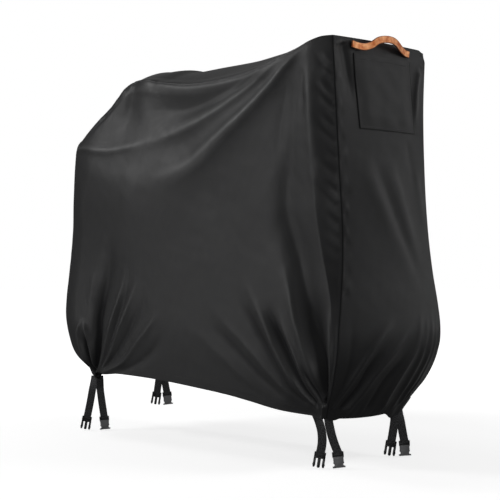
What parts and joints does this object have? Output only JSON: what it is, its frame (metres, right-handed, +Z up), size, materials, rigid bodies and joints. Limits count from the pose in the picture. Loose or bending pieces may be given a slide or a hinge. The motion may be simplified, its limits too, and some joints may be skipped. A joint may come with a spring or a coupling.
{
  "type": "exercise bike cover",
  "caption": "Black draped cloth cover for an upright exercise bike, with a tan leather handle, a patch pocket and buckled corner straps.",
  "frame": {"origin": "on the lining under the middle of the top panel, where the cover rests on the bike it hides", "axes": "+X along the length towards the handle end, +Z up, -Y towards the side that faces the picture's camera"},
  "size_m": [1.2703, 0.5074, 1.2097],
  "materials": {
    "cloth": "coated plain weave with a soft sheen",
    "leather": "smooth tan",
    "webbing": "ribbed matt webbing",
    "prong_plastic": "fine moulded grain",
    "socket_plastic": "fine moulded grain"
  },
  "bodies": {
    "root": {"near_side_panel": "cloth", "far_side_panel": "cloth", "front_panel": "cloth", "back_panel": "cloth", "top_panel": "cloth", "pocket": "cloth", "handle": "leather", "near_front_tail_prongs": "webbing", "near_front_tail_socket": "webbing", "far_front_tail_prongs": "webbing", "far_front_tail_socket": "webbing", "near_back_tail_prongs": "webbing", "near_back_tail_socket": "webbing", "far_back_tail_prongs": "webbing", "far_back_tail_socket": "webbing", "near_front_buckle_prongs": "prong_plastic", "far_front_buckle_prongs": "prong_plastic", "near_back_buckle_prongs": "prong_plastic", "far_back_buckle_prongs": "prong_plastic", "near_front_buckle_socket": "socket_plastic", "far_front_buckle_socket": "socket_plastic", "near_back_buckle_socket": "socket_plastic", "far_back_buckle_socket": "socket_plastic"}
  },
  "joints": []
}
